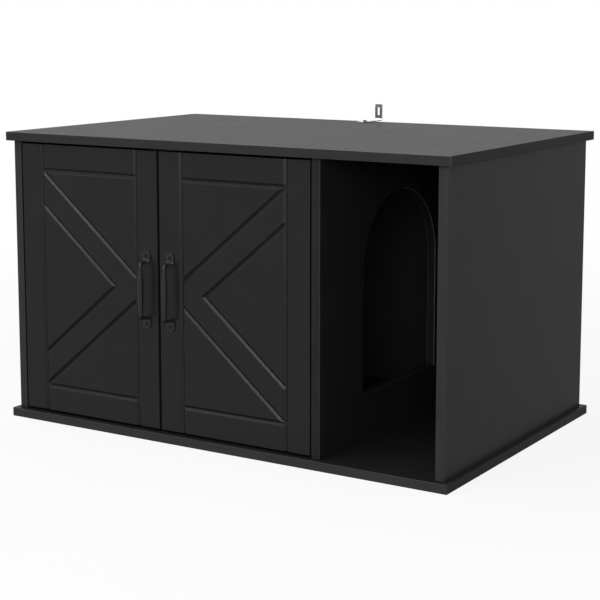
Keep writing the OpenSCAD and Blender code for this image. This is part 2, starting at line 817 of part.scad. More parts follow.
// Named pieces
module left_upper_hinge_arm() at_left() translate([0, 0, hinge_z[0]]) hinge_arm();
module left_lower_hinge_arm() at_left() translate([0, 0, hinge_z[1]]) hinge_arm();
module right_upper_hinge_arm() at_right() translate([0, 0, hinge_z[0]]) hinge_arm();
module right_lower_hinge_arm() at_right() translate([0, 0, hinge_z[1]]) hinge_arm();
module left_upper_hinge_plate() at_left() translate([0, 0, hinge_z[0]]) hinge_plate();
module left_lower_hinge_plate() at_left() translate([0, 0, hinge_z[1]]) hinge_plate();
module right_upper_hinge_plate() at_right() translate([0, 0, hinge_z[0]]) hinge_plate();
module right_lower_hinge_plate() at_right() translate([0, 0, hinge_z[1]]) hinge_plate();
module left_upper_hinge_cup() at_left() translate([0, 0, hinge_z[0]]) hinge_cup();
module left_lower_hinge_cup() at_left() translate([0, 0, hinge_z[1]]) hinge_cup();
module right_upper_hinge_cup() at_right() translate([0, 0, hinge_z[0]]) hinge_cup();
module right_lower_hinge_cup() at_right() translate([0, 0, hinge_z[1]]) hinge_cup();
module left_door_panel() at_left() door_panel();
module right_door_panel() at_right() door_panel();
module left_handle() at_left() handle();
module right_handle() at_right() handle();
module left_handle_screws() at_left() handle_screws();
module right_handle_screws() at_right() handle_screws();
module left_hinge_pins() at_left() hinge_pins();
module right_hinge_pins() at_right() hinge_pins();
module left_cup_screws() at_left() cup_screws();
module right_cup_screws() at_right() cup_screws();
module left_strike_plate() at_left() strike_plate();
module right_strike_plate() at_right() strike_plate();
module left_strike_screw() at_left() strike_screw_piece();
module right_strike_screw() at_right() strike_screw_piece();

module hinge_plate_screws() color(steel) {
    at_left() one_door_plate_screws();
    at_right() one_door_plate_screws();
}

module hinge_arm_screws() color(steel) {
    at_left() one_door_arm_screws();
    at_right() one_door_arm_screws();
}

top_panel();
base_panel();
left_side_panel();
right_side_panel();
divider_panel();
back_panel();
anti_tip_bracket();
bracket_screw();
cam_locks();
cam_bolts();
wooden_dowels();
base_screws();
back_panel_screws();
left_upper_hinge_arm();
left_lower_hinge_arm();
right_upper_hinge_arm();
right_lower_hinge_arm();
left_upper_hinge_plate();
left_lower_hinge_plate();
right_upper_hinge_plate();
right_lower_hinge_plate();
hinge_plate_screws();
hinge_arm_screws();
magnetic_catch();
catch_magnets();
catch_screws();
left_door_panel();
left_handle();
left_handle_screws();
left_upper_hinge_cup();
left_lower_hinge_cup();
left_hinge_pins();
left_cup_screws();
left_strike_plate();
left_strike_screw();
right_door_panel();
right_handle();
right_handle_screws();
right_upper_hinge_cup();
right_lower_hinge_cup();
right_hinge_pins();
right_cup_screws();
right_strike_plate();
right_strike_screw();
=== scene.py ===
"""The look of a black cat house: a low cabinet with two doors, an open vestibule and an arched doorway.

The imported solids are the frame. Boards, doors and fittings are eased copies of them, with their
arrises rounded as the real ones are. The handles, the wall bracket and the screws that show are
modelled here. All lengths are in metres.
"""

import logging
import math
from collections.abc import Callable, Sequence
from dataclasses import dataclass, field, replace
from enum import Enum
from functools import cache
from typing import ClassVar

import bmesh
import bpy
from bmesh.types import BMEdge, BMesh, BMFace, BMVert
from bpy.types import Material, NodeSocket, Object, ShaderNode, World
from mathutils import Euler, Matrix, Vector


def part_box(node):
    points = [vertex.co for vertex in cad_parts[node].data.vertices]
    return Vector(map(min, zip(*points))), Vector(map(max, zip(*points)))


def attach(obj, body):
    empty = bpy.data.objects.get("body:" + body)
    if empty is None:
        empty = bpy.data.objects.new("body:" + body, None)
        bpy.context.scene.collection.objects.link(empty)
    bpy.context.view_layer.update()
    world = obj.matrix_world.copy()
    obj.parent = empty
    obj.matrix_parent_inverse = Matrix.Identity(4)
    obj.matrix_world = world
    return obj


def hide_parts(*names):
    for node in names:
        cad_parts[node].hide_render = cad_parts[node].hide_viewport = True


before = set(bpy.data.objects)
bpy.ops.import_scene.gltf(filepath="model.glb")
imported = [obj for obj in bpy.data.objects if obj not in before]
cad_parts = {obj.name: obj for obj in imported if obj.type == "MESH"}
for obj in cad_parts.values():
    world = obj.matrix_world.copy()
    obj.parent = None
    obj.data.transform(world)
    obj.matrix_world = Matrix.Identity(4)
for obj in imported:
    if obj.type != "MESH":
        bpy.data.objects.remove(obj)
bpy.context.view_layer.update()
MM = 0.001
LOG = logging.getLogger("cat_house")

Triple = tuple[float, float, float]
Span = tuple[float, float]
EdgeTest = Callable[[BMEdge], bool]

# The part of a noise's range that most of its values fall in
USUAL: Span = (0.3, 0.7)
QUARTER = math.pi / 2


def shares(count: int) -> list[float]:
    """The ends of equal steps, as shares of the whole way. The last is 1."""
    return [step / count for step in range(1, count + 1)]


def turns(count: int) -> list[float]:
    """The ends of equal steps of a quarter turn."""
    return [QUARTER * share for share in shares(count)]


class Body(Enum):
    """The parts of the cat house that move as one."""

    CABINET = "cabinet"
    LEFT_DOOR = "left_door"
    RIGHT_DOOR = "right_door"


class Side(Enum):
    """Which door a piece belongs to."""

    LEFT = "left"
    RIGHT = "right"

    @property
    def body(self) -> Body:
        """The body of this side's door."""
        return Body.LEFT_DOOR if self is Side.LEFT else Body.RIGHT_DOOR


class Axis(Enum):
    """The axis of a board's thickness, by its place in a vector."""

    X = 0
    Z = 2


@dataclass(frozen=True)
class Grain:
    """Cloudy noise of one size.

    Attributes:
        cell: Size of its cells.
        detail: Number of finer layers.
    """

    cell: float
    detail: int = 2


class Nodes:
    """The nodes of a material or of the surroundings."""

    def __init__(self, owner: Material | World) -> None:
        """Starts with an empty tree."""
        owner.use_nodes = True
        self.tree = owner.node_tree
        self.tree.nodes.clear()

    def node(self, kind: str) -> ShaderNode:
        """Adds a node of a kind and returns it."""
        return self.tree.nodes.new("ShaderNode" + kind)

    def join(self, source: NodeSocket, target: NodeSocket) -> None:
        """Links one socket to another."""
        self.tree.links.new(source, target)

    def set(self, socket: NodeSocket, value: NodeSocket | float) -> None:
        """Sets a socket to a pattern or a number.

        Args:
            socket: The socket.
            value: What it gets.
        """
        if isinstance(value, NodeSocket):
            self.join(value, socket)
        else:
            socket.default_value = value

    def compute(self, operation: str, *values: NodeSocket | float) -> NodeSocket:
        """The result of one operation on patterns and numbers.

        Args:
            operation: The name of the operation.
            values: What it works on, in order.

        Returns:
            The result.
        """
        node = self.node("Math")
        node.operation = operation
        for socket, value in zip(node.inputs, values):
            self.set(socket, value)
        return node.outputs["Value"]

    def spread(self, value: NodeSocket, low: float, high: float, source: Span = USUAL) -> NodeSocket:
        """Maps a pattern to a range of numbers.

        Args:
            value: The pattern.
            low: Result at the start of the source range.
            high: Result at its end.
            source: The part of the pattern's range that is used.

        Returns:
            The mapped and clamped pattern.
        """
        node = self.node("MapRange")
        node.inputs["From Min"].default_value, node.inputs["From Max"].default_value = source
        node.inputs["To Min"].default_value, node.inputs["To Max"].default_value = low, high
        self.join(value, node.inputs["Value"])
        return node.outputs["Result"]

    def lit(self, kind: str, strength: NodeSocket | float) -> NodeSocket:
        """Adds an even white light.

        Args:
            kind: Background or Emission.
            strength: Its strength.

        Returns:
            The light.
        """
        node = self.node(kind)
        node.inputs["Color"].default_value = (1, 1, 1, 1)
        self.set(node.inputs["Strength"], strength)
        return node.outputs[0]

    def mixed(self, share: NodeSocket, first: NodeSocket, second: NodeSocket) -> NodeSocket:
        """Goes from one surface or light to another with a share.

        Args:
            share: How much of the second there is.
            first: What is there at a share of 0.
            second: What is there at 1.

        Returns:
            The mixture.
        """
        node = self.node("MixShader")
        for socket, value in zip(node.inputs, (share, first, second)):
            self.join(value, socket)
        return node.outputs[0]


class Shader(Nodes):
    """A material under construction: one principled surface, and patterns on Object coordinates."""

    def __init__(self, name: str) -> None:
        """Starts a material.

        Args:
            name: The material's name.
        """
        self.material = bpy.data.materials.new(name)
        super().__init__(self.material)
        self.output = self.node("OutputMaterial").inputs["Surface"]
        self.surface = self.node("BsdfPrincipled")
        self.join(self.surface.outputs["BSDF"], self.output)
        self.place = self.node("TexCoord").outputs["Object"]

    def stretched(self, lengths: Sequence[float]) -> NodeSocket:
        """Coordinates in which a pattern's cells are longer along some axes.

        Args:
            lengths: How many times longer a cell is along X, Y and Z.

        Returns:
            The stretched coordinates.
        """
        mapping = self.node("Mapping")
        mapping.inputs["Scale"].default_value = tuple(1 / length for length in lengths)
        self.join(self.place, mapping.inputs["Vector"])
        return mapping.outputs["Vector"]

    def noise(self, grain: Grain, place: NodeSocket | None = None) -> NodeSocket:
        """Cloudy noise.

        Args:
            grain: Its size and detail.
            place: Coordinates, or None for the plain ones.

        Returns:
            The noise, from 0 to 1 and mostly about 0.5.
        """
        noise = self.node("TexNoise")
        noise.inputs["Scale"].default_value = 1 / grain.cell
        noise.inputs["Detail"].default_value = grain.detail
        self.join(place or self.place, noise.inputs["Vector"])
        return noise.outputs["Fac"]

    def sum(self, first: NodeSocket, second: NodeSocket, share: float) -> NodeSocket:
        """The first pattern plus a share of the second."""
        return self.compute("MULTIPLY_ADD", second, share, first)

    def blend(self, value: NodeSocket, dark: Triple, light: Triple) -> NodeSocket:
        """Goes from one colour to another with a pattern.

        Args:
            value: The pattern, from 0 to 1.
            dark: Colour at 0.
            light: Colour at 1.

        Returns:
            The colour.
        """
        mix = self.node("Mix")
        mix.data_type = "RGBA"
        self.join(value, mix.inputs["Factor"])
        for socket in mix.inputs:
            if socket.type == "RGBA":
                socket.default_value = (*(dark if socket.name == "A" else light), 1)
        return next(socket for socket in mix.outputs if socket.type == "RGBA")

    def relief(self, height: NodeSocket, depth: float) -> None:
        """Gives the surface a fine relief.

        Args:
            height: The pattern of heights.
            depth: Height in metres that a change of 1 stands for.
        """
        bump = self.node("Bump")
        bump.inputs["Distance"].default_value = depth
        bump.inputs["Strength"].default_value = 1.0
        self.join(height, bump.inputs["Height"])
        self.join(bump.outputs["Normal"], self.surface.inputs["Normal"])

    def feed(self, name: str, value: NodeSocket | float) -> None:
        """Sets a socket of the surface to a pattern or a number."""
        self.set(self.surface.inputs[name], value)


@dataclass(frozen=True)
class Finish:
    """What all finishes of the cat house share.

    Attributes:
        name: The material's name.
        slot: The record's material slot. Not used.
        dark: The darker of its two colours.
        light: The lighter one.
        rough: Lowest and highest roughness.
        gloss: Level of the plain reflection, where 0.5 is ordinary plastic.
    """

    name: str
    slot: str
    dark: Triple
    light: Triple
    rough: Span
    gloss: float = 0.5

    def paint(self, shader: Shader) -> None:
        """Adds the patterns of this finish to a new shader."""
        raise NotImplementedError

    def tint(self, shader: Shader, pattern: NodeSocket, source: Span = USUAL) -> None:
        """Goes from the darker colour to the lighter one with a pattern."""
        share = shader.spread(pattern, 0, 1, source)
        shader.feed("Base Color", shader.blend(share, self.dark, self.light))

    def roughen(self, shader: Shader, pattern: NodeSocket, source: Span = USUAL) -> None:
        """Goes from the lowest roughness to the highest with a pattern."""
        shader.feed("Roughness", shader.spread(pattern, *self.rough, source))

    @cache
    def material(self) -> Material:
        """Makes the material, once for each finish.

        Returns:
            The material.
        """
        shader = Shader(self.name)
        shader.feed("Specular IOR Level", self.gloss)
        self.paint(shader)
        return shader.material


@dataclass(frozen=True)
class Film(Finish):
    """A printed or moulded film on board: soft mottling, a fine peel, and pores along the grain.

    Attributes:
        grain: How many times longer the grain is along each axis.
        pores: Depth of the pores.
        peel: Depth of the fine peel.
    """

    grain: Triple = (1, 1, 1)
    pores: float = 0.03 * MM
    peel: float = 0.02 * MM

    STREAKS: ClassVar[Grain] = Grain(2.2 * MM, 4)
    CLOUDS: ClassVar[Grain] = Grain(60 * MM, 3)
    SPECKS: ClassVar[Grain] = Grain(0.9 * MM, 3)
    PITS: ClassVar[Grain] = Grain(0.7 * MM)

    def paint(self, shader: Shader) -> None:
        """Mottles the colour and lays the peel and the pores.

        Args:
            shader: The shader that gets them.
        """
        along = shader.stretched(self.grain)
        streaks = shader.noise(self.STREAKS, along)
        clouds = shader.noise(self.CLOUDS)
        self.tint(shader, shader.sum(streaks, clouds, share=0.6), source=(0.55, 1.05))
        specks = shader.noise(self.SPECKS)
        self.roughen(shader, shader.sum(specks, clouds, share=0.5), source=(0.5, 1.0))
        pits = shader.spread(shader.noise(self.PITS, along), 0, 1, source=(0.5, 0.68))
        shader.relief(shader.sum(specks, pits, share=-self.pores / self.peel), self.peel)


@dataclass(frozen=True)
class Fibreboard(Finish):
    """The bare face of a hardboard sheet: matted fibres and the print of a wire screen.

    Attributes:
        screen: Pitch of the screen's wires.
        waver: How far the wires wander.
        depth: Depth of the print.
    """

    screen: float = 1.6 * MM
    waver: float = 0.4
    depth: float = 0.08 * MM

    FIBRES: ClassVar[Grain] = Grain(1.1 * MM, 5)
    CLOUDS: ClassVar[Grain] = Grain(35 * MM, 3)
    # Length of a wave texture's wave at a scale of 1
    WAVE: ClassVar[float] = 0.314

    def paint(self, shader: Shader) -> None:
        """Lays fibres, then the screen's print in two directions.

        Args:
            shader: The shader that gets them.
        """
        fibres = shader.noise(self.FIBRES)
        clouds = shader.noise(self.CLOUDS)
        self.tint(shader, shader.sum(fibres, clouds, share=0.5), source=(0.5, 1.0))
        self.roughen(shader, fibres)
        height = fibres
        for direction in ("X", "Z"):
            wires = shader.node("TexWave")
            wires.bands_direction = direction
            wires.inputs["Scale"].default_value = self.WAVE / self.screen
            wires.inputs["Distortion"].default_value = self.waver
            shader.join(shader.place, wires.inputs["Vector"])
            height = shader.sum(height, wires.outputs["Fac"], share=0.8)
        shader.relief(height, self.depth)


@dataclass(frozen=True)
class Coating(Finish):
    """Powder coat or black oxide on metal: an even colour with a fine orange peel.

    Attributes:
        peel: Size of the peel's cells.
        depth: Depth of the peel.
    """

    peel: float = 0.6 * MM
    depth: float = 0.02 * MM

    HANDLING: ClassVar[Grain] = Grain(14 * MM, 3)

    def paint(self, shader: Shader) -> None:
        """Lays the peel and a slow change of colour and gloss.

        Args:
            shader: The shader that gets them.
        """
        cells = shader.noise(Grain(self.peel))
        handled = shader.noise(self.HANDLING)
        self.tint(shader, handled)
        self.roughen(shader, shader.sum(handled, cells, share=0.4), source=(0.45, 0.95))
        shader.relief(cells, self.depth)


@dataclass(frozen=True)
class Metal(Finish):
    """Bare or plated metal, with drawing lines or a cast skin.

    Attributes:
        lines: How many times longer the marks are along each axis.
        marks: Size of the marks across.
        depth: Depth of the marks.
    """

    lines: Triple = (1, 1, 1)
    marks: float = 0.35 * MM
    depth: float = 0.008 * MM

    PATCHES: ClassVar[Grain] = Grain(5 * MM, 4)

    def paint(self, shader: Shader) -> None:
        """Lays the marks and patches of duller plating.

        Args:
            shader: The shader that gets them.
        """
        shader.feed("Metallic", 1.0)
        marks = shader.noise(Grain(self.marks, 3), shader.stretched(self.lines))
        patches = shader.noise(self.PATCHES)
        self.tint(shader, patches)
        self.roughen(shader, shader.sum(patches, marks, share=0.5), source=(0.5, 1.0))
        shader.relief(marks, self.depth)


@dataclass(frozen=True)
class Timber(Finish):
    """Turned beech with grain along Z and small flecks.

    Attributes:
        depth: Depth of the open grain.
    """

    depth: float = 0.05 * MM

    RINGS: ClassVar[Grain] = Grain(1.4 * MM, 4)
    RING_STRETCH: ClassVar[Triple] = (1, 1, 14)
    FLECKS: ClassVar[Grain] = Grain(0.5 * MM, 1)
    FLECK_STRETCH: ClassVar[Triple] = (1, 1, 5)

    def paint(self, shader: Shader) -> None:
        """Lays the year rings, the flecks and the open grain.

        Args:
            shader: The shader that gets them.
        """
        rings = shader.noise(self.RINGS, shader.stretched(self.RING_STRETCH))
        flecks = shader.noise(self.FLECKS, shader.stretched(self.FLECK_STRETCH))
        flecks = shader.spread(flecks, 0, 1, source=(0.56, 0.66))
        self.tint(shader, shader.sum(rings, flecks, share=-0.25))
        self.roughen(shader, rings)
        shader.relief(rings, self.depth)


@dataclass(frozen=True)
class Moulded(Finish):
    """Moulded plastic or a pressed magnet: an even colour under a spark-eroded grain.

    Attributes:
        grit: Size of the grain.
        depth: Depth of the grain.
    """

    grit: float = 0.4 * MM
    depth: float = 0.02 * MM

    CLOUDS: ClassVar[Grain] = Grain(9 * MM)

    def paint(self, shader: Shader) -> None:
        """Lays the grain and a slow change of colour.

        Args:
            shader: The shader that gets them.
        """
        grit = shader.noise(Grain(self.grit))
        self.tint(shader, shader.noise(self.CLOUDS))
        self.roughen(shader, grit)
        shader.relief(grit, self.depth)


def grey(level: float, blue: float) -> Triple:
    """A grey colour with its own level of blue, because the black boards are faintly cool."""
    return level, level, blue


class Palette:
    """The finishes of the cat house."""

    # One laminate in three copies: the faces of the top, the base and the uprights differ in colour by
    # the way they point, as painted light and shade.
    FLAT_FACE = Film("laminate_lying", "black_board", grey(0.0135, 0.0142), grey(0.0185, 0.0192),
                     rough=(0.50, 0.58), gloss=0.17, grain=(26, 1, 1))
    BASE_FACE = Film("laminate_base", "black_board", grey(0.0108, 0.0112), grey(0.0147, 0.0153),
                     rough=(0.50, 0.58), gloss=0.13, grain=(26, 1, 1))
    UPRIGHT_FACE = Film("laminate_upright", "black_board", grey(0.0124, 0.0129), grey(0.0168, 0.0175),
                        rough=(0.48, 0.56), gloss=0.137, grain=(1, 1, 26))
    # One edge band in lighter and darker copies by board and by the way an edge points, as painted light
    # and shade: the base's front is the lightest and the ends of the top and the base the darkest. The
    # divider's copy is darker than the uprights'.
    TOP_EDGE = Film("edge_band_top", "black_board", grey(0.0225, 0.0232), grey(0.0306, 0.0316),
                    rough=(0.42, 0.52), gloss=0.16, grain=(40, 40, 1), pores=0.02 * MM)
    BASE_EDGE = Film("edge_band_base", "black_board", grey(0.0320, 0.0330), grey(0.0420, 0.0433),
                     rough=(0.42, 0.52), gloss=0.16, grain=(40, 40, 1), pores=0.02 * MM)
    END_EDGE = Film("edge_band_end", "black_board", grey(0.0080, 0.0084), grey(0.0115, 0.0120),
                    rough=(0.48, 0.56), gloss=0.085, grain=(40, 40, 1), pores=0.02 * MM)
    UPRIGHT_EDGE = Film("edge_band_upright", "black_board", grey(0.0285, 0.0294), grey(0.0385, 0.0397),
                        rough=(0.42, 0.52), gloss=0.16, grain=(1, 1, 40), pores=0.02 * MM)
    ARRIS = Film("scraped_arris", "black_board", grey(0.021, 0.0217), grey(0.030, 0.031),
                 rough=(0.26, 0.36), gloss=0.34, grain=(8, 8, 8), pores=0.01 * MM, peel=0.01 * MM)
    # A painted highlight: a bright copy of the arris finish for the line of light along the doorway's
    # rear jamb.
    HIGHLIT_ARRIS = Film("arris_painted_highlight", "black_board", grey(0.105, 0.107), grey(0.150, 0.153),
                      rough=(0.30, 0.40), gloss=0.34, grain=(8, 8, 8), pores=0.01 * MM, peel=0.01 * MM)
    DIVIDER_EDGE = Film("edge_band_divider", "black_board", grey(0.0130, 0.0136), grey(0.0175, 0.0182),
                        rough=(0.42, 0.52), gloss=0.17, grain=(1, 1, 40), pores=0.02 * MM)
    DOOR = Film("door_film", "door_film", grey(0.0125, 0.0131), grey(0.0156, 0.0162), rough=(0.26, 0.32),
                gloss=0.21, grain=(1, 1, 1), pores=0.003 * MM, peel=0.008 * MM)
    BACK_FRONT = Film("back_board_face", "back_board", grey(0.0118, 0.0122), grey(0.0160, 0.0166),
                      rough=(0.52, 0.60), gloss=0.17, grain=(1, 1, 1), pores=0.01 * MM)
    BACK_REAR = Fibreboard("back_board_rear", "back_board", (0.016, 0.014, 0.013), (0.034, 0.029, 0.026),
                           rough=(0.68, 0.82), gloss=0.3)
    HANDLE = Coating("handle_coat", "black_handle", grey(0.0135, 0.014), grey(0.0175, 0.0181),
                     rough=(0.17, 0.23), gloss=0.36)
    BLACK_SCREW = Coating("black_screw_coat", "black_screw", grey(0.008, 0.008), grey(0.014, 0.014),
                          rough=(0.38, 0.48), gloss=0.22, peel=0.3 * MM, depth=0.01 * MM)
    # The strip's sheared sides: rougher, as sheared steel is, and painted near black as painted shade.
    SHEARED_SHADED = Metal("sheared_edge_painted_shade", "zinc_bracket", grey(0.055, 0.058), grey(0.10, 0.104),
                    rough=(0.40, 0.55), gloss=0.5, lines=(1, 1, 12), marks=0.25 * MM, depth=0.01 * MM)
    ZINC = Metal("zinc_plate", "zinc_bracket", (0.58, 0.59, 0.61), (0.76, 0.77, 0.79), rough=(0.10, 0.18),
                 gloss=0.5, lines=(1, 12, 12), marks=0.35 * MM, depth=0.003 * MM)
    NICKEL = Metal("nickel_plate", "nickel_steel", (0.60, 0.595, 0.57), (0.70, 0.695, 0.665),
                   rough=(0.34, 0.44), gloss=0.5, lines=(1, 14, 1))
    CAST = Metal("cast_zinc", "cast_zinc", (0.40, 0.41, 0.42), (0.56, 0.57, 0.58), rough=(0.42, 0.60),
                 gloss=0.5, lines=(1, 1, 1), marks=0.5 * MM, depth=0.03 * MM)
    STEEL = Metal("screw_steel", "screw_steel", grey(0.50, 0.49), grey(0.66, 0.65), rough=(0.26, 0.40))
    BEECH = Timber("beech", "beech_dowel", (0.42, 0.25, 0.12), (0.64, 0.44, 0.25), rough=(0.55, 0.70),
                   gloss=0.4)
    PLASTIC = Moulded("black_plastic", "black_plastic", grey(0.012, 0.0125), grey(0.018, 0.0186),
                      rough=(0.42, 0.54), gloss=0.4)
    MAGNET = Moulded("magnet", "magnet", (0.030, 0.029, 0.028), (0.055, 0.053, 0.050), rough=(0.50, 0.66),
                     gloss=0.5, grit=0.25 * MM)


FaceRule = Callable[[BMFace], Finish]


class Workshop:
    """Makes meshes into finished pieces.

    Attributes:
        FACET_ANGLE: Angle from which an edge is shaded as sharp.
        SHARP_ANGLE: Angle over which an edge may be eased.
        FLAT_ANGLE: Angle under which two faces count as one flat face.
        WELD: Distance at which vertices are merged.
        TOUCH: Distance within which a vertex counts as lying on a plane.
    """

    FACET_ANGLE = math.radians(38)
    SHARP_ANGLE = math.radians(20)
    FLAT_ANGLE = math.radians(0.5)
    WELD = 0.002 * MM
    TOUCH = 0.02 * MM

    @staticmethod
    def copy_of(node: str) -> BMesh:
        """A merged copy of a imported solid, with its flat faces whole.

        Args:
            node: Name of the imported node.

        Returns:
            The copy.
        """
        bm = bmesh.new()
        bm.from_mesh(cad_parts[node].data)
        bmesh.ops.remove_doubles(bm, verts=bm.verts, dist=Workshop.WELD)
        bmesh.ops.dissolve_limit(bm, angle_limit=Workshop.FLAT_ANGLE, use_dissolve_boundaries=False,
                                 verts=bm.verts, edges=bm.edges, delimit=set())
        return bm

    @staticmethod
    def ease(bm: BMesh, radius: float, pick: EdgeTest, segments: int = 3) -> None:
        """Rounds the sharp edges that a test picks.

        Args:
            bm: The mesh.
            radius: Width of the rounding.
            pick: Says whether an edge is rounded.
            segments: Number of strips in the rounding.
        """
        sharp = [e for e in bm.edges if e.calc_face_angle(0.0) > Workshop.SHARP_ANGLE and pick(e)]
        bmesh.ops.bevel(bm, geom=sharp, offset=radius, offset_type="OFFSET", segments=segments,
                        profile=0.5, affect="EDGES", clamp_overlap=True, material=-1)
        bmesh.ops.remove_doubles(bm, verts=bm.verts, dist=Workshop.WELD)
        bmesh.ops.dissolve_degenerate(bm, dist=Workshop.WELD, edges=bm.edges)

    @staticmethod
    def on_box(low: Vector, high: Vector) -> EdgeTest:
        """A test for edges that lie along the edges of a box.

        Args:
            low: The box's lowest corner.
            high: Its highest corner.

        Returns:
            The test.
        """

        def planes(vert: BMVert) -> set[tuple[int, bool]]:
            """The box's faces that a vertex lies on."""
            return {(i, top) for i in range(3) for top, plane in ((False, low[i]), (True, high[i]))
                    if abs(vert.co[i] - plane) < Workshop.TOUCH}

        return lambda edge: len(planes(edge.verts[0]) & planes(edge.verts[1])) >= 2

    @staticmethod
    def joined(parts: Sequence[BMesh]) -> BMesh:
        """Joins meshes into one.

        Args:
            parts: The meshes. They are freed.

        Returns:
            The one mesh.
        """
        whole = bmesh.new()
        for part in parts:
            mesh = bpy.data.meshes.new("part")
            part.to_mesh(mesh)
            part.free()
            whole.from_mesh(mesh)
            bpy.data.meshes.remove(mesh)
        return whole

    @staticmethod
    def placed(name: str, bm: BMesh) -> Object:
        """Puts a mesh into the scene.

        Args:
            name: The object's name.
            bm: Its mesh, which is freed.

        Returns:
            The object.
        """
        mesh = bpy.data.meshes.new(name)
        bm.to_mesh(mesh)
        bm.free()
        thing = bpy.data.objects.new(name, mesh)
        bpy.context.scene.collection.objects.link(thing)
        return thing

    @staticmethod
    def carved(target: BMesh, cutter: BMesh) -> BMesh:
        """The target with the cutter's shape taken out of it.

        Args:
            target: The mesh that is cut. It is freed.
            cutter: The shape that is taken out. It is freed.

        Returns:
            The cut mesh.
        """
        pair = []
        for name, bm in (("target", target), ("cutter", cutter)):
            bmesh.ops.recalc_face_normals(bm, faces=bm.faces)
            pair.append(Workshop.placed(name, bm))
        cut = pair[0].modifiers.new("cut", "BOOLEAN")
        cut.operation, cut.solver, cut.object = "DIFFERENCE", "EXACT", pair[1]
        shown = pair[0].evaluated_get(bpy.context.evaluated_depsgraph_get())
        result = bmesh.new()
        result.from_mesh(shown.to_mesh())
        shown.to_mesh_clear()
        for thing in pair:
            mesh = thing.data
            bpy.data.objects.remove(thing)
            bpy.data.meshes.remove(mesh)
        return result

    @staticmethod
    def finish(name: str, bm: BMesh, finishes: Sequence[Finish], body: Body, node: str,
               rule: FaceRule | None = None) -> None:
        """Makes a mesh into a piece that rides on a body.

        Args:
            name: The piece's name.
            bm: Its mesh, which is freed.
            finishes: Its finishes, the main one first.
            body: The body that it moves with.
            node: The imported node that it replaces.
            rule: Gives the finish of a face, or None for the first finish all over.
        """
        for face in bm.faces:
            face.smooth = True
            face.material_index = finishes.index(rule(face)) if rule else 0
        for edge in bm.edges:
            edge.smooth = edge.calc_face_angle(0.0) < Workshop.FACET_ANGLE
        piece = Workshop.placed(name, bm)
        for finish in finishes:
            piece.data.materials.append(finish.material())
        even = piece.modifiers.new("even_shading", "WEIGHTED_NORMAL")
        even.keep_sharp = True
        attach(piece, body.value)
        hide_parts(node)
        LOG.info("%s: %d faces, rides on %s", name, len(piece.data.polygons), body.value)

    @staticmethod
    def dress(node: str, finish: Finish) -> None:
        """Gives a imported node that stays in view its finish.

        Args:
            node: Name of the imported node.
            finish: Its finish.
        """
        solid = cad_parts[node]
        if not solid.material_slots:
            solid.data.materials.append(finish.material())
        for place in solid.material_slots:
            place.material = finish.material()
        LOG.info("%s: packed solid in %s", node, finish.name)


